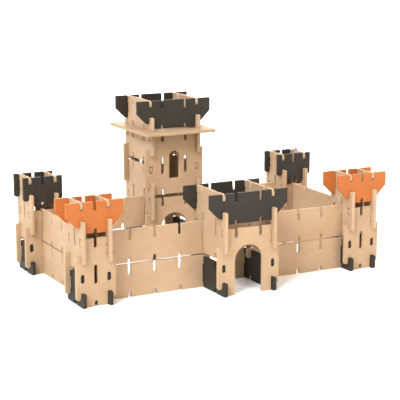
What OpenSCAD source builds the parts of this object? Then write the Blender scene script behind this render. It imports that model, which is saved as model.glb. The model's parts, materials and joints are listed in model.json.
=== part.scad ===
// Toy castle of flat fibre boards that slot together without glue.
// Four corner towers, a gatehouse and a tall keep stand on one grid and are tied by six walls.
// Boards that run across the castle (along X) and boards that run to the back (along Y) take turns
// level by level. Each board drops over the ears of the boards below it and takes their tabs.
// The front faces -Y, +Z is up, and the origin is under the middle of the whole castle.

/* [Board] */
// Thickness of every board
board_t = 6; // [4.5:0.1:8]
// Clearance on each side of a board in a slot
slot_fit = 0.25; // [0.15:0.05:0.4]

/* [Grid] */
// Distance between neighbouring slot columns
pitch = 25; // [24:0.5:32]
// Height of one level, half of a full board with its seam
level_h = 64.4; // [60:0.2:80]
// Spare room for the platform in the seam between two stacked boards
seam_play = 1.2; // [0.4:0.1:4]
// Columns from the left towers to the gatehouse and the keep
wall_columns = 8; // [6:2:12]

/* [Corner joint] */
// Height of the half lap, from a board's lower edge to its seat on the board below
lap_h = 25; // [20:0.5:30]
// Reach of an ear past the crossing line
ear_len = 12.5; // [10:0.25:18]
// Lower end of an ear above the board's lower edge
ear_lift = 13; // [6:0.5:16]
// Radius of the lower corners of the ears
ear_r = 5; // [1.5:0.25:6]
// Radius of the upper corners of the ears
ear_top_r = 2.5; // [0.5:0.25:5]
// Height of the tab at the top of each board end
tab_h = 12.5; // [8:0.5:13]
// Radius of the outer top corner of a tab
tab_r = 7; // [2:0.5:7.5]
// Depth of a tab's end below the face of the board that it passes through
tab_inset = 1; // [0:0.1:1.5]
// Clearance on each side of a tab in its mortise
mortise_fit = 0.75; // [0.3:0.05:1]
// Radius of the tool reliefs above an ear and under a tab
relief_r = 1.8; // [0.6:0.1:2]

/* [Slot columns] */
// Depth of the notch in a lower edge
notch_h = 10; // [8:0.5:14]
// Lower end of the window slot above the board's lower edge
slot_z = 40; // [36:0.5:44]

/* [Crowns] */
// Rise of a crown's lower edge above its level, spare room over the platform
crown_rise = 2; // [0:0.5:5]
// Reach of a straight crown past the crossing line
crown_len = 13.75; // [10:0.25:18]
// Reach of a flared crown past the crossing line
wing_len = 28.75; // [22:0.25:36]
// Height of the upright end of a flared crown
wing_side = 25; // [16:0.5:32]
// Width of the wing's tip beside the slot
wing_tip = 6; // [4:0.5:8]
// Radius of the wing's corners
wing_r = 2.5; // [0.5:0.25:4]

/* [Arches and windows] */
// Width of the arched passages
arch_w = 56.5; // [36:0.5:60]
// Height of the arched passages
arch_h = 90; // [70:1:94]
// Width of the keep's arched windows
window_w = 22; // [12:1:26]
// Height of the keep's arched windows
window_h = 54.5; // [30:0.5:70]
// Height of the window sill above the board's lower edge
sill_z = 30.5; // [16:0.5:40]

/* [Platform] */
// Rim of the keep's platform round the boards that pass through it
platform_rim = 24.75; // [8:0.25:30]
// Radius of the platform's corners
platform_r = 2; // [0.5:0.5:6]

/* [Walls] */
// Open seam between the two boards of a wall
wall_seam = 2.6; // [1:0.1:5]
// Drop of an upper wall board until its tabs sit in their slots
wall_drop = 1; // [0.2:0.1:2]
// Gap between a wall's end and the board that it meets
wall_gap = 1; // [0.2:0.1:2]
// Reach of a wall's upper tongues past the crossing line
wall_tongue_len = 11; // [8:0.5:16]
// Radius of the ends of the wall tongues
wall_tongue_r = 3; // [1:0.25:3.5]

/* [Hidden] */
$fn = 48;
// Overlap that keeps cutting shapes clear of the edges they cut
cut = 1;
slot_w = board_t + 2 * slot_fit;
mortise_w = board_t + 2 * mortise_fit;
// Play between a board and its seat on the board below
seat_fit = slot_fit / 4;
// A square tab stays this far from the end of a round-ended slot
function end_gap(w) = w / 2 - sqrt(pow(w / 2, 2) - pow(board_t / 2, 2)) + seat_fit;
round_gap = end_gap(slot_w);
mortise_gap = end_gap(mortise_w);
seam = board_t + seam_play;
full_h = 2 * level_h - seam;
half_h = level_h - seam;
mortise_z = half_h - tab_h - mortise_gap;
mortise_h = tab_h + 2 * mortise_gap;
// Corner radii, kept below half of the width that they round
ear_limit = 0.48 * (min(ear_len, crown_len) - slot_w / 2);
ear_corner = min(ear_r, ear_limit);
ear_top_corner = min(ear_top_r, ear_limit);
wing_corner = min(wing_r, 0.48 * wing_tip);

// Columns of the grid, counted from the outer left board and from the front towers' front board
tower_columns = 2;
house_columns = 4;
house_x = tower_columns + wall_columns;
right_x = house_x + house_columns + wall_columns;
back_y = tower_columns + wall_columns;
gate_y = -tower_columns;

front_reach = gate_y * pitch - ear_len;
back_reach = (back_y + house_columns) * pitch + ear_len + platform_rim;
centre_x = (right_x + tower_columns) * pitch / 2;
centre_y = (front_reach + back_reach) / 2;

wall_h = level_h - wall_drop - wall_seam;
wall_low_tongue = notch_h - round_gap;
wall_high_tongue = slot_z + round_gap + wall_drop;

natural = [0.87, 0.74, 0.59];
dark_grey = [0.27, 0.26, 0.25];
orange = [0.93, 0.50, 0.22];

// Each tower: name, first column along X and Y, crown colour, true where the crown flares
TOWERS = [
    ["front_left_tower", 0, 0, orange, true],
    ["front_right_tower", right_x, 0, orange, true],
    ["back_left_tower", 0, back_y, dark_grey, false],
    ["back_right_tower", right_x, back_y, dark_grey, false]
];
TOWER_PIECES = [
    "base_boards", "front_board", "back_board", "left_board", "right_board", "front_crown", "back_crown"
];
HOUSE_PIECES = [
    "base_boards", "front_arch", "back_arch", "left_board", "right_board", "front_crown", "back_crown"
];
KEEP_PIECES = [
    "base_boards", "front_arch", "back_arch", "lower_left_board", "lower_right_board", "front_window",
    "back_window", "upper_left_board", "upper_right_board", "platform", "front_crown", "back_crown"
];
// Each wall: name, first crossing column along X and Y, true where it runs to the back
WALLS = [
    ["front_left_wall", tower_columns, 1, false],
    ["front_right_wall", house_x + house_columns, 1, false],
    ["left_wall", 1, tower_columns, true],
    ["right_wall", right_x + 1, tower_columns, true],
    ["back_left_wall", tower_columns, back_y + 1, false],
    ["back_right_wall", house_x + house_columns, back_y + 1, false]
];
WALL_PIECES = ["lower_board", "upper_board"];

// Outline helpers: s runs along the board from its first crossing line, h up from its lower edge

function unit(v) = v / norm(v);

// Rounds a corner whose edges leave it in the directions a and b
module round_corner(corner, a, b, r) {
    half_angle = acos(unit(a) * unit(b)) / 2;
    centre = r / sin(half_angle) * unit(unit(a) + unit(b));
    tangent = r / tan(half_angle);
    reach = 1 + cut / r;
    kite = [[0, 0], tangent * unit(a) - centre, -centre, tangent * unit(b) - centre];
    translate(corner + centre) difference() {
        polygon([for (point = kite) reach * point]);
        circle(r);
    }
}

// Round-ended opening between two heights
module round_slot(s, low, high, w = slot_w) {
    r = w / 2;
    translate([s - r, low + r]) square([w, high - low - w]);
    translate([s, low + r]) circle(r);
    translate([s, high - r]) circle(r);
}

// Notch up from the lower edge, with a round end
module lower_notch(s) {
    round_slot(s, -slot_w, notch_h);
}

// Notch down from the upper edge, with a round end
module upper_notch(s, low, board_h, w = slot_w) {
    round_slot(s, low, board_h + w, w);
}

// Opens a doorway or window with a half-round head
module arch_opening(s, low, w, h) {
    r = w / 2;
    translate([s - r, low]) square([w, h - r]);
    translate([s, low + h - r]) circle(r);
}

// Draws both ends of a board from one end
module both_ends(span_len) {
    children();
    translate([span_len, 0]) mirror([1, 0]) children();
}

// Tab at the upper corner of a board end, almost out to the far face of the crossing board
module end_tab(board_h) {
    reach = board_t / 2 - tab_inset;
    translate([-reach, board_h - tab_h]) square([reach + slot_w / 2 + cut, tab_h]);
}

// Rounds a tab and the top of the ear below it, and opens the tool reliefs between them
module tab_cuts(board_h, ear_high) {
    round_corner([tab_inset - board_t / 2, board_h], [1, 0], [0, -1], tab_r);
    translate([slot_w / 2, board_h - tab_h - relief_r]) circle(relief_r);
    translate([slot_w / 2, ear_high + relief_r]) circle(relief_r);
    round_corner([-ear_len, ear_high], [1, 0], [0, -1], ear_top_corner);
}

// Ear that reaches past the crossing board, from low to high, with its lower corner rounded
module ear(reach, low, high) {
    difference() {
        translate([-reach, low]) square([reach + slot_w / 2 + cut, high - low]);
        round_corner([-reach, low], [1, 0], [0, 1], ear_corner);
    }
}

// Half-lap slot at a crossing, open below, with the round corner of the ear or wing beside it
module lap_slot(corner_r) {
    translate([-slot_w / 2, -cut]) square([slot_w, cut + lap_h + seat_fit]);
    round_corner([-slot_w / 2, ear_lift], [-1, 0], [0, 1], corner_r);
}

// Plain field between the boards at both ends, which stand this far off their crossing lines
module field(span_len, low, high, inset = slot_w / 2) {
    translate([inset, low]) square([span_len - 2 * inset, high - low]);
}

// Base board: half height, ears on the ground, no lap below
module base_outline(span) {
    difference() {
        union() {
            field(span * pitch, 0, half_h);
            both_ends(span * pitch) {
                ear(ear_len, 0, lap_h);
                end_tab(half_h);
            }
        }
        both_ends(span * pitch) tab_cuts(half_h, lap_h);
        for (column = [1 : 2 : span - 1]) {
            lower_notch(column * pitch);
            upper_notch(column * pitch, slot_z, half_h);
        }
    }
}

// Full board without its middle openings
module full_outline(span) {
    difference() {
        union() {
            field(span * pitch, 0, full_h);
            both_ends(span * pitch) {
                ear(ear_len, ear_lift, level_h + lap_h);
                end_tab(full_h);
            }
        }
        both_ends(span * pitch) {
            lap_slot(ear_corner);
            tab_cuts(full_h, level_h + lap_h);
            round_slot(0, mortise_z, mortise_z + mortise_h, mortise_w);
        }
        for (column = [1 : 2 : span - 1]) upper_notch(column * pitch, level_h + slot_z, full_h);
    }
}

// Full board with a window slot and a notch in every spare column
module slotted_outline(span) {
    difference() {
        full_outline(span);
        for (column = [1 : 2 : span - 1]) {
            lower_notch(column * pitch);
            round_slot(column * pitch, slot_z, level_h + notch_h);
        }
    }
}

// Full board with an arched passage
module arch_outline() {
    difference() {
        full_outline(house_columns);
        arch_opening(house_columns * pitch / 2, -cut, arch_w, arch_h + cut);
    }
}

// Full board with an arched window between its slot columns
module window_outline() {
    difference() {
        slotted_outline(house_columns);
        arch_opening(house_columns * pitch / 2, sill_z, window_w, window_h);
    }
}

// Crown blank with flared ends
module flared_blank(span_len) {
    upper = [-wing_len, half_h];
    lower = [-wing_len, half_h - wing_side];
    tip = [-slot_w / 2 - wing_tip, ear_lift];
    wing = [upper, lower, tip, [0, ear_lift], [0, crown_rise]];
    far_wing = [for (i = [len(wing) - 1 : -1 : 0]) [span_len - wing[i][0], wing[i][1]]];
    difference() {
        polygon(concat(wing, far_wing));
        both_ends(span_len) {
            round_corner(lower, upper - lower, tip - lower, wing_corner);
            round_corner(tip, lower - tip, [1, 0], wing_corner);
        }
    }
}

// Crown blank with straight ends
module straight_blank(span_len) {
    field(span_len, crown_rise, half_h);
    both_ends(span_len) ear(crown_len, ear_lift, half_h);
}

// Crown board: half height, notched like battlements
module crown_outline(span, flared) {
    difference() {
        if (flared) flared_blank(span * pitch);
        else straight_blank(span * pitch);
        both_ends(span * pitch) {
            lap_slot(flared ? wing_corner : ear_corner);
            upper_notch(0, mortise_z, half_h, mortise_w);
        }
        for (column = [1 : 2 : span - 1]) {
            lower_notch(column * pitch);
            upper_notch(column * pitch, slot_z, half_h);
        }
    }
}

// Rounded tongue at a wall's end
module wall_tongue(reach, low, high) {
    difference() {
        translate([-reach, low]) square([reach + board_t / 2 + wall_gap + cut, high - low]);
        round_corner([-reach, low], [1, 0], [0, 1], wall_tongue_r);
        round_corner([-reach, high], [1, 0], [0, -1], wall_tongue_r);
    }
}

// Wall board: a short and a long tongue at each end, a pair of notches in every second column
module wall_outline() {
    span_len = wall_columns * pitch;
    difference() {
        union() {
            field(span_len, 0, wall_h, board_t / 2 + wall_gap);
            both_ends(span_len) {
                wall_tongue(board_t / 2, 0, wall_low_tongue);
                wall_tongue(wall_tongue_len, wall_high_tongue, wall_h);
            }
        }
        for (column = [2 : 2 : wall_columns - 2]) {
            lower_notch(column * pitch);
            upper_notch(column * pitch, slot_z, wall_h);
        }
    }
}

// Places an outline as a board across the castle
module across(column_x, column_y, z) {
    translate([column_x * pitch - centre_x, column_y * pitch - centre_y + board_t / 2, z])
        rotate([90, 0, 0]) linear_extrude(board_t) children();
}

// Places an outline as a board that runs to the back
module along(column_x, column_y, z) {
    translate([column_x * pitch - centre_x - board_t / 2, column_y * pitch - centre_y, z])
        rotate([90, 0, 90]) linear_extrude(board_t) children();
}

// Pieces

module base_boards(x, y, span) {
    color(dark_grey) {
        along(x, y, 0) base_outline(span);
        along(x + span, y, 0) base_outline(span);
    }
}

module side_board(x, y, span, level) {
    color(natural) along(x, y, level * level_h) slotted_outline(span);
}

module tower_face_board(x, y) {
    color(natural) across(x, y, 0) slotted_outline(tower_columns);
}

module arch_board(x, y) {
    color(natural) across(x, y, 0) arch_outline();
}

module window_board(x, y) {
    color(natural) across(x, y, 2 * level_h) window_outline();
}

module crown_board(x, y, span, level, finish, flared) {
    color(finish) across(x, y, level * level_h) crown_outline(span, flared);
}

module wall_board(wall, level) {
    z = level * (level_h - wall_drop);
    color(natural) {
        if (wall[3]) along(wall[1], wall[2], z) wall_outline();
        else across(wall[1], wall[2], z) wall_outline();
    }
}

module keep_platform() {
    span_len = house_columns * pitch;
    side = [span_len + 2 * platform_rim, span_len + 2 * (ear_len + platform_rim)];
    slot_reach = span_len / 2 + ear_len + round_gap;
    middle_x = (house_x + house_columns / 2) * pitch - centre_x;
    middle_y = (back_y + house_columns / 2) * pitch - centre_y;
    rest_z = 4 * level_h - seam;
    color(natural) translate([middle_x, middle_y, rest_z]) linear_extrude(board_t) difference() {
        square(side, center = true);
        for (x = [-1, 1]) {
            for (y = [-1, 1]) round_corner([x * side[0], y * side[1]] / 2, [-x, 0], [0, -y], platform_r);
            round_slot(x * span_len / 2, -slot_reach, slot_reach);
        }
    }
}

// Picks one piece of a tower or house by its name

module tower_piece(tower, piece) {
    x = tower[1];
    y = tower[2];
    right = x + tower_columns;
    back = y + tower_columns;
    if (piece == "base_boards") base_boards(x, y, tower_columns);
    if (piece == "front_board") tower_face_board(x, y);
    if (piece == "back_board") tower_face_board(x, back);
    if (piece == "left_board") side_board(x, y, tower_columns, 1);
    if (piece == "right_board") side_board(right, y, tower_columns, 1);
    if (piece == "front_crown") crown_board(x, y, tower_columns, 2, tower[3], tower[4]);
    if (piece == "back_crown") crown_board(x, back, tower_columns, 2, tower[3], tower[4]);
}

module house_piece(y, piece, crown_level) {
    x = house_x;
    right = x + house_columns;
    back = y + house_columns;
    if (piece == "base_boards") base_boards(x, y, house_columns);
    if (piece == "front_arch") arch_board(x, y);
    if (piece == "back_arch") arch_board(x, back);
    if (piece == "left_board" || piece == "lower_left_board") side_board(x, y, house_columns, 1);
    if (piece == "right_board" || piece == "lower_right_board") side_board(right, y, house_columns, 1);
    if (piece == "front_window") window_board(x, y);
    if (piece == "back_window") window_board(x, back);
    if (piece == "upper_left_board") side_board(x, y, house_columns, 3);
    if (piece == "upper_right_board") side_board(right, y, house_columns, 3);
    if (piece == "platform") keep_platform();
    if (piece == "front_crown") crown_board(x, y, house_columns, crown_level, dark_grey, true);
    if (piece == "back_crown") crown_board(x, back, house_columns, crown_level, dark_grey, true);
}

for (tower = TOWERS) for (piece = TOWER_PIECES)
    tower_piece(tower, piece);
for (piece = HOUSE_PIECES)
    house_piece(gate_y, piece, 2);
for (piece = KEEP_PIECES)
    house_piece(back_y, piece, 4);
for (wall = WALLS) for (i = [0, 1])
    wall_board(wall, i);
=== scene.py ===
"""Looks of a slot-together toy castle: fibre boards in three colours, a pale floor and soft light."""

import json
import math
import random
from collections import namedtuple

import bmesh
import bpy
from bpy.props import FloatProperty, FloatVectorProperty, PointerProperty
from bpy.types import Operator, Panel, PropertyGroup
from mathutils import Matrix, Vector


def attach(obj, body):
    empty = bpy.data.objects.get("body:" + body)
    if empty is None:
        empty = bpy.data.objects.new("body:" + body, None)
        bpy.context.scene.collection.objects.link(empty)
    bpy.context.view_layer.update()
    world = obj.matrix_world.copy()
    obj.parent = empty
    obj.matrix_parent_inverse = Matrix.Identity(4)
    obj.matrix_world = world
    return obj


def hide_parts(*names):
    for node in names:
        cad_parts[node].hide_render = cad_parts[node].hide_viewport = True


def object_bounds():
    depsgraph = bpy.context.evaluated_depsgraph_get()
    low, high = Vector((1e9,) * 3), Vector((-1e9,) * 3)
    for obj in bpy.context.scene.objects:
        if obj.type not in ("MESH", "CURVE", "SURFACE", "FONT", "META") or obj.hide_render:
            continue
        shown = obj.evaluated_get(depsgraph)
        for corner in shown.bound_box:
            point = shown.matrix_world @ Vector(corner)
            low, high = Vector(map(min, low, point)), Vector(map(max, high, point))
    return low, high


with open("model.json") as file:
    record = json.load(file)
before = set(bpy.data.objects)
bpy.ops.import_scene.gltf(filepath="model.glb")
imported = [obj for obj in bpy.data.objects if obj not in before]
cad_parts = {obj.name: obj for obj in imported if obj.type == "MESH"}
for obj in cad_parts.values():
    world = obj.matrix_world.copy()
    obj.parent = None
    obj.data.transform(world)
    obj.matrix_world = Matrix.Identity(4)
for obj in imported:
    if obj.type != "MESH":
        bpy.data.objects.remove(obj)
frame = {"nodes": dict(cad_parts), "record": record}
CAD_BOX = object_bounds()

bl_info = {
    "name": "Slot-together castle",
    "version": (1, 0, 0),
    "blender": (4, 5, 0),
    "location": "3D View > Sidebar > Castle",
    "description": "Dresses the boards of a slot-together toy castle and sets its stage",
    "category": "Object",
}

BODY = "root"
SLOT_OF = {part["node"]: part["material_slot"] for part in frame["record"]["subparts"]}
CENTRE = (CAD_BOX[0] + CAD_BOX[1]) / 2

# Points of a copied board that lie this close are welded
WELD = 1e-6
# Faces that meet at less than the first angle are one flat face, up to the second they follow an arc
FLAT_ANGLE = math.radians(1)
ARC_ANGLE = math.radians(30)
# Share of a face normal along the thickness from which the face counts as broad
BROAD = 0.99
ARRIS_STEPS = 2

# Values of the cut_edge attribute on the broad faces, the eased edges and the cut faces
BROAD_MARK = 0.0
ARRIS_MARK = 0.5
CUT_MARK = 1.0
# Furthest that the tone attribute of a whole board lies from the middle
TONE_REACH = 0.5

# Turns of the fibres that cross each other, their thickness as a share of their length, and their strength
FIBRE_TURNS = ((0.5, 0.3, 0.2), (1.1, -0.7, 0.9), (-0.6, 1.2, 1.9))
FIBRE_SLIMNESS = 0.12
FIBRE_STRENGTH = 0.5
# Detail and roughness of the noise in each layer of the board's pattern
CLOUD_NOISE = (3.0, 0.55)
MOTTLE_NOISE = (3.0, 0.6)
FIBRE_NOISE = (1.0, 0.5)
# Share of each layer in the changes of tone, about a tone half-way between dark and light
CLOUD_TONE = 0.9
MOTTLE_TONE = 0.8
FIBRE_TONE = 0.7
BOARD_TONE = 0.35
# The cut faces and eased edges are made paler: partly the board's own lighter core, partly a painted
# highlight that stands in for the light from above on the top edges
CUT_PALENESS_AND_HIGHLIGHT = 0.15
MIDDLE_TONE = 0.5
# Red, green and blue of the dark and light tones, as shares of the board's colour
DARK_TONE = (0.86, 0.80, 0.74)
LIGHT_TONE = (1.10, 1.14, 1.18)
# Roughness that each layer adds to its finish
FIBRE_ROUGHNESS = 0.25
MOTTLE_ROUGHNESS = 0.15
CUT_ROUGHNESS = 0.12
# Height of the fibre bundles against the single fibres, and strength of the relief
MOTTLE_RELIEF = 0.6
RELIEF_STRENGTH = 0.35
BOARD_SPECULAR = 0.3
FLOOR_ROUGHNESS = 0.9
FLOOR_SPECULAR = 0.0
# Sockets of a Mix node that mixes colours: factor, first and second colour, and its result
MIX_FACTOR, MIX_FIRST, MIX_SECOND = 0, 6, 7
MIX_RESULT = 2

# Finish of each material slot: material's name, colour setting, roughness, and contrast of its pattern
Finish = namedtuple("Finish", "name colour roughness contrast")
FINISH_OF = {
    "natural_board": Finish("natural fibre board", "natural", 0.68, 0.9),
    "dark_grey_board": Finish("dark grey fibre board", "dark_grey", 0.60, 1.2),
    "orange_board": Finish("orange fibre board", "orange", 0.58, 0.7),
}

# Lights that hang round the castle, each with a power, place, size and colour among the stage's settings
SOFT_LIGHTS = ("key", "fill", "back")


class CastleBoards(PropertyGroup):
    """Finish of the boards."""

    natural: FloatVectorProperty(
        name="Natural", description="Bare fibre board", subtype="COLOR",
        default=(0.428, 0.291, 0.174),
    )
    dark_grey: FloatVectorProperty(
        name="Dark grey", description="Board dyed dark grey", subtype="COLOR",
        default=(0.026, 0.0215, 0.0165),
    )
    orange: FloatVectorProperty(
        name="Orange", description="Board dyed orange", subtype="COLOR",
        default=(0.415, 0.121, 0.027),
    )
    arris: FloatProperty(
        name="Arris", description="Width of the eased edges", default=0.0005, min=0, unit="LENGTH"
    )
    cloud_size: FloatProperty(
        name="Cloud size", description="Size of the broad changes of tone", default=0.05, unit="LENGTH"
    )
    mottle_size: FloatProperty(
        name="Mottle size", description="Size of the pressed fibre bundles", default=0.007, unit="LENGTH"
    )
    fibre_size: FloatProperty(
        name="Fibre size", description="Thickness of the single fibres", default=0.0006, unit="LENGTH"
    )
    fibre_relief: FloatProperty(
        name="Fibre relief", description="Depth of the fibres in the surface", default=0.0001, unit="LENGTH"
    )


class CastleStage(PropertyGroup):
    """Camera, floor and light."""

    camera_place: FloatVectorProperty(
        name="Camera place", description="Where the camera stands", subtype="TRANSLATION",
        default=(-1.1500, -2.2470, 0.6649),
    )
    camera_turn: FloatVectorProperty(
        name="Camera turn", description="How the camera is turned", subtype="EULER",
        default=(math.radians(78.057), 0, math.radians(-27.367)),
    )
    focal_length: FloatProperty(
        name="Focal length", description="Focal length in millimetres on a 36 mm sensor", default=120.92
    )
    floor_colour: FloatVectorProperty(
        name="Floor", description="Colour of the floor", subtype="COLOR", default=(0.97, 0.97, 0.97)
    )
    floor_size: FloatProperty(
        name="Floor size", description="Side of the floor", default=60, unit="LENGTH"
    )
    sky: FloatProperty(name="Sky", description="Strength of the light from all round", default=0.58)
    overhead: FloatProperty(
        name="Overhead", description="Strength of the wide light from straight above", default=0.5
    )
    overhead_spread: FloatProperty(
        name="Overhead spread", description="Angle that the light from above fills", subtype="ANGLE",
        default=math.radians(60),
    )
    key_power: FloatProperty(
        name="Key power", description="Strength of the light from the left", default=1220, unit="POWER"
    )
    key_place: FloatVectorProperty(
        name="Key place", description="Where the light from the left hangs", subtype="TRANSLATION",
        default=(-6.2, -3.6, 6.6),
    )
    key_size: FloatProperty(
        name="Key size", description="Side of the light from the left", default=4.0, unit="LENGTH"
    )
    key_colour: FloatVectorProperty(
        name="Key colour", description="Colour of the light from the left", subtype="COLOR",
        default=(0.92, 0.96, 1.0),
    )
    fill_power: FloatProperty(
        name="Fill power", description="Strength of the warm light from the front", default=250, unit="POWER"
    )
    fill_place: FloatVectorProperty(
        name="Fill place", description="Where the light from the front hangs", subtype="TRANSLATION",
        default=(1.0, -6.2, 4.6),
    )
    fill_size: FloatProperty(
        name="Fill size", description="Side of the light from the front", default=4.0, unit="LENGTH"
    )
    fill_colour: FloatVectorProperty(
        name="Fill colour", description="Colour of the light from the front", subtype="COLOR",
        default=(1.0, 0.8, 0.6),
    )
    back_power: FloatProperty(
        name="Back power", description="Strength of the light from behind", default=700, unit="POWER"
    )
    back_place: FloatVectorProperty(
        name="Back place", description="Where the light from behind hangs", subtype="TRANSLATION",
        default=(2.6, 6.2, 4.6),
    )
    back_size: FloatProperty(
        name="Back size", description="Side of the light from behind", default=4.0, unit="LENGTH"
    )
    back_colour: FloatVectorProperty(
        name="Back colour", description="Colour of the light from behind", subtype="COLOR",
        default=(1.0, 0.97, 0.93),
    )


class Shade:
    """A shader value. Arithmetic on it adds Math nodes, and node() adds any other node."""

    def __init__(self, tree, socket=None):
        self.tree = tree
        self.socket = socket

    def node(self, kind, settings=None, sockets=None, output=0):
        """Adds a node: its settings come first, then the values or links of its sockets."""
        made = self.tree.nodes.new(kind)
        for name, value in (settings or {}).items():
            setattr(made, name, value)
        for name, value in (sockets or {}).items():
            if isinstance(value, Shade):
                self.tree.links.new(value.socket, made.inputs[name])
            else:
                made.inputs[name].default_value = value
        return Shade(self.tree, made.outputs[output] if made.outputs else None)

    def math(self, operation, first, second):
        """Adds a Math node for two values."""
        return self.node("ShaderNodeMath", {"operation": operation}, {0: first, 1: second})

    def __add__(self, other):
        return self.math("ADD", self, other)

    def __sub__(self, other):
        return self.math("SUBTRACT", self, other)

    def __rsub__(self, other):
        return self.math("SUBTRACT", other, self)

    def __mul__(self, other):
        return self.math("MULTIPLY", self, other)

    __radd__ = __add__
    __rmul__ = __mul__


def noise(shade, place, size, detail, roughness):
    """Noise about zero, with features of the given size."""
    sockets = {"Vector": place, "Scale": 1 / size, "Detail": detail, "Roughness": roughness}
    return shade.node("ShaderNodeTexNoise", None, sockets, "Fac") - 0.5


def strands(shade, place, size):
    """Short fibres that cross each other in several directions, about zero."""
    total = 0
    for turn in FIBRE_TURNS:
        sockets = {"Vector": place, "Rotation": turn, "Scale": (1, 1, FIBRE_SLIMNESS)}
        turned = shade.node("ShaderNodeMapping", None, sockets)
        total = total + noise(shade, turned, size, *FIBRE_NOISE)
    return total * FIBRE_STRENGTH


def scaled(colour, share):
    """A colour with each channel times its share, opaque."""
    return [channel * k for channel, k in zip(colour, share)] + [1.0]


def fibre_board(finish, colour):
    """Pressed wood fibre board: clouds, bundles and fibres, with a rougher cut edge that is paler, partly
    the board's own lighter core and partly a painted highlight of the light from above.
    """
    boards = bpy.context.scene.castle_boards
    material = bpy.data.materials.new(finish.name)
    material.use_nodes = True
    material.diffuse_color = list(colour) + [1.0]
    tree = material.node_tree
    tree.nodes.clear()
    shade = Shade(tree)
    place = shade.node("ShaderNodeTexCoord", output="Object")
    tone = shade.node("ShaderNodeAttribute", {"attribute_name": "tone"}, output="Fac")
    cut = shade.node("ShaderNodeAttribute", {"attribute_name": "cut_edge"}, output="Fac")
    clouds = noise(shade, place, boards.cloud_size, *CLOUD_NOISE)
    mottle = noise(shade, place, boards.mottle_size, *MOTTLE_NOISE)
    fibres = strands(shade, place, boards.fibre_size)
    pattern = clouds * CLOUD_TONE + mottle * MOTTLE_TONE + fibres * FIBRE_TONE
    # cut_edge lifts the tone of the cut faces: partly their own lighter core, partly painted highlight
    depth = pattern + tone * BOARD_TONE + cut * CUT_PALENESS_AND_HIGHLIGHT
    balance = depth * finish.contrast + MIDDLE_TONE
    base = shade.node(
        "ShaderNodeMix",
        {"data_type": "RGBA"},
        {MIX_FACTOR: balance, MIX_FIRST: scaled(colour, DARK_TONE), MIX_SECOND: scaled(colour, LIGHT_TONE)},
        MIX_RESULT,
    )
    layers = fibres * FIBRE_ROUGHNESS + mottle * MOTTLE_ROUGHNESS + cut * CUT_ROUGHNESS
    relief = fibres + mottle * MOTTLE_RELIEF
    normal = shade.node(
        "ShaderNodeBump",
        None,
        {"Strength": RELIEF_STRENGTH, "Distance": boards.fibre_relief, "Height": relief},
    )
    surface = shade.node(
        "ShaderNodeBsdfPrincipled",
        None,
        {
            "Base Color": base,
            "Roughness": layers + finish.roughness,
            "Normal": normal,
            "Specular IOR Level": BOARD_SPECULAR,
        },
    )
    shade.node("ShaderNodeOutputMaterial", None, {"Surface": surface})
    return material


def board_finish(slot):
    """The material of one of the record's slots, made on first use."""
    finish = FINISH_OF[slot]
    colour = getattr(bpy.context.scene.castle_boards, finish.colour)
    return bpy.data.materials.get(finish.name) or fibre_board(finish, colour)


def thickness_axis(mesh):
    """The axis that most of the face area looks along."""
    areas = [0.0, 0.0, 0.0]
    for face in mesh.faces:
        for axis in range(3):
            if abs(face.normal[axis]) > BROAD:
                areas[axis] += face.calc_area()
    return areas.index(max(areas))


def ease_edges(mesh, arris):
    """Rounds the edges between a board's broad faces and its cut edge, and marks the faces."""
    axis = thickness_axis(mesh)
    cut_edge = mesh.faces.layers.float.new("cut_edge")
    for face in mesh.faces:
        broad = abs(face.normal[axis]) > BROAD
        face[cut_edge] = BROAD_MARK if broad else CUT_MARK
        face.smooth = not broad and any(
            FLAT_ANGLE < edge.calc_face_angle(0) < ARC_ANGLE for edge in face.edges
        )
    rim = [
        edge
        for edge in mesh.edges
        if len(edge.link_faces) == 2 and len({face[cut_edge] for face in edge.link_faces}) == 2
    ]
    eased = bmesh.ops.bevel(
        mesh, geom=rim, offset=arris, offset_type="OFFSET", affect="EDGES", segments=ARRIS_STEPS,
        profile=0.5, material=-1, clamp_overlap=False,
    )
    for face in eased["faces"]:
        face[cut_edge] = ARRIS_MARK
        face.smooth = True


def dress_board(name):
    """Makes the finished piece of one board, in the place of its CAD node."""
    boards = bpy.context.scene.castle_boards
    mesh = bmesh.new()
    mesh.from_mesh(frame["nodes"][name].data)
    bmesh.ops.remove_doubles(mesh, verts=mesh.verts, dist=WELD)
    bmesh.ops.dissolve_limit(
        mesh, angle_limit=FLAT_ANGLE, verts=mesh.verts, edges=mesh.edges, use_dissolve_boundaries=False
    )
    mesh.normal_update()
    ease_edges(mesh, boards.arris)
    tone = mesh.faces.layers.float.new("tone")
    board_tone = random.Random(name).uniform(-TONE_REACH, TONE_REACH)
    for face in mesh.faces:
        face[tone] = board_tone
    data = bpy.data.meshes.new(name + "_finished")
    mesh.to_mesh(data)
    mesh.free()
    data.materials.clear()
    data.materials.append(board_finish(SLOT_OF[name]))
    piece = bpy.data.objects.new(name + "_finished", data)
    bpy.context.scene.collection.objects.link(piece)
    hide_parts(name)
    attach(piece, BODY)


def dress_group(belongs):
    """Dresses every board whose name passes the test, and fails if there is none."""
    names = [name for name in sorted(frame["nodes"]) if belongs(name)]
    if not names:
        raise RuntimeError("the frame has no board for this group")
    for name in names:
        dress_board(name)


class CASTLE_OT_towers(Operator):
    """Dress the boards of the four corner towers"""

    bl_idname = "castle.towers"
    bl_label = "Towers"

    def execute(self, context):
        dress_group(lambda name: "_tower_" in name)
        return {"FINISHED"}


class CASTLE_OT_gatehouse(Operator):
    """Dress the boards of the gatehouse"""

    bl_idname = "castle.gatehouse"
    bl_label = "Gatehouse"

    def execute(self, context):
        dress_group(lambda name: name.startswith("gatehouse_"))
        return {"FINISHED"}


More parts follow.
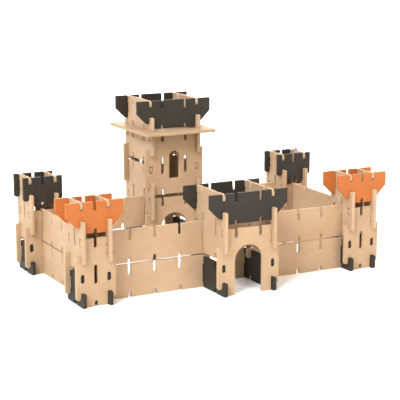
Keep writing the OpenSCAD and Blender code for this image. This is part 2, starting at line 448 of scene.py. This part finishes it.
class CASTLE_OT_keep(Operator):
    """Dress the boards of the keep and its platform"""

    bl_idname = "castle.keep"
    bl_label = "Keep"

    def execute(self, context):
        dress_group(lambda name: name.startswith("keep_"))
        return {"FINISHED"}


class CASTLE_OT_walls(Operator):
    """Dress the two boards of each wall"""

    bl_idname = "castle.walls"
    bl_label = "Walls"

    def execute(self, context):
        dress_group(lambda name: "_wall_" in name)
        return {"FINISHED"}


def plain_floor(settings):
    """A flat matt square under the castle."""
    mesh = bmesh.new()
    bmesh.ops.create_grid(mesh, x_segments=1, y_segments=1, size=settings.floor_size / 2)
    data = bpy.data.meshes.new("floor")
    mesh.to_mesh(data)
    mesh.free()
    material = bpy.data.materials.new("pale floor")
    material.use_nodes = True
    surface = material.node_tree.nodes["Principled BSDF"]
    surface.inputs["Base Color"].default_value = list(settings.floor_colour) + [1.0]
    surface.inputs["Roughness"].default_value = FLOOR_ROUGHNESS
    surface.inputs["Specular IOR Level"].default_value = FLOOR_SPECULAR
    data.materials.append(material)
    floor = bpy.data.objects.new("floor", data)
    bpy.context.scene.collection.objects.link(floor)


def soft_light(settings, name):
    """A square area light that looks at the middle of the castle."""
    place = Vector(getattr(settings, name + "_place"))
    data = bpy.data.lights.new(name + " light", "AREA")
    data.shape = "SQUARE"
    data.size = getattr(settings, name + "_size")
    data.energy = getattr(settings, name + "_power")
    data.color = getattr(settings, name + "_colour")
    light = bpy.data.objects.new(name + " light", data)
    light.location = place
    light.rotation_euler = (CENTRE - place).to_track_quat("-Z", "Y").to_euler()
    bpy.context.scene.collection.objects.link(light)


def overhead_light(settings):
    """A wide light from straight above, the same all over the floor."""
    data = bpy.data.lights.new("overhead light", "SUN")
    data.energy = settings.overhead
    data.angle = settings.overhead_spread
    bpy.context.scene.collection.objects.link(bpy.data.objects.new("overhead light", data))


def white_sky(settings):
    """Even white light from all round."""
    world = bpy.data.worlds.new("white studio")
    world.use_nodes = True
    background = world.node_tree.nodes["Background"]
    background.inputs["Color"].default_value = (1, 1, 1, 1)
    background.inputs["Strength"].default_value = settings.sky
    bpy.context.scene.world = world


def front_camera(settings):
    """The camera that the castle is seen through, from the front and a little from the left."""
    data = bpy.data.cameras.new("camera")
    data.lens = settings.focal_length
    camera = bpy.data.objects.new("camera", data)
    camera.location = settings.camera_place
    camera.rotation_euler = settings.camera_turn
    bpy.context.scene.collection.objects.link(camera)
    bpy.context.scene.camera = camera


class CASTLE_OT_stage(Operator):
    """Set the floor, the soft light and the camera"""

    bl_idname = "castle.stage"
    bl_label = "Stage"

    def execute(self, context):
        settings = context.scene.castle_stage
        plain_floor(settings)
        white_sky(settings)
        overhead_light(settings)
        for name in SOFT_LIGHTS:
            soft_light(settings, name)
        front_camera(settings)
        context.scene.view_settings.view_transform = "Standard"
        return {"FINISHED"}


class CASTLE_PT_panel(Panel):
    """Castle tools in the sidebar"""

    bl_idname = "CASTLE_PT_panel"
    bl_label = "Castle"
    bl_space_type = "VIEW_3D"
    bl_region_type = "UI"
    bl_category = "Castle"

    def draw(self, context):
        for group in (context.scene.castle_boards, context.scene.castle_stage):
            for name in group.__annotations__:
                self.layout.prop(group, name)
        for operator in OPERATORS:
            self.layout.operator(operator.bl_idname)


OPERATORS = (CASTLE_OT_towers, CASTLE_OT_gatehouse, CASTLE_OT_keep, CASTLE_OT_walls, CASTLE_OT_stage)
CLASSES = (CastleBoards, CastleStage, *OPERATORS, CASTLE_PT_panel)


def register():
    for item in CLASSES:
        bpy.utils.register_class(item)
    bpy.types.Scene.castle_boards = PointerProperty(type=CastleBoards)
    bpy.types.Scene.castle_stage = PointerProperty(type=CastleStage)


def unregister():
    del bpy.types.Scene.castle_stage
    del bpy.types.Scene.castle_boards
    for item in reversed(CLASSES):
        bpy.utils.unregister_class(item)


def main():
    register()
    bpy.ops.castle.towers()
    bpy.ops.castle.gatehouse()
    bpy.ops.castle.keep()
    bpy.ops.castle.walls()
    bpy.ops.castle.stage()


if __name__ == "__main__":
    main()
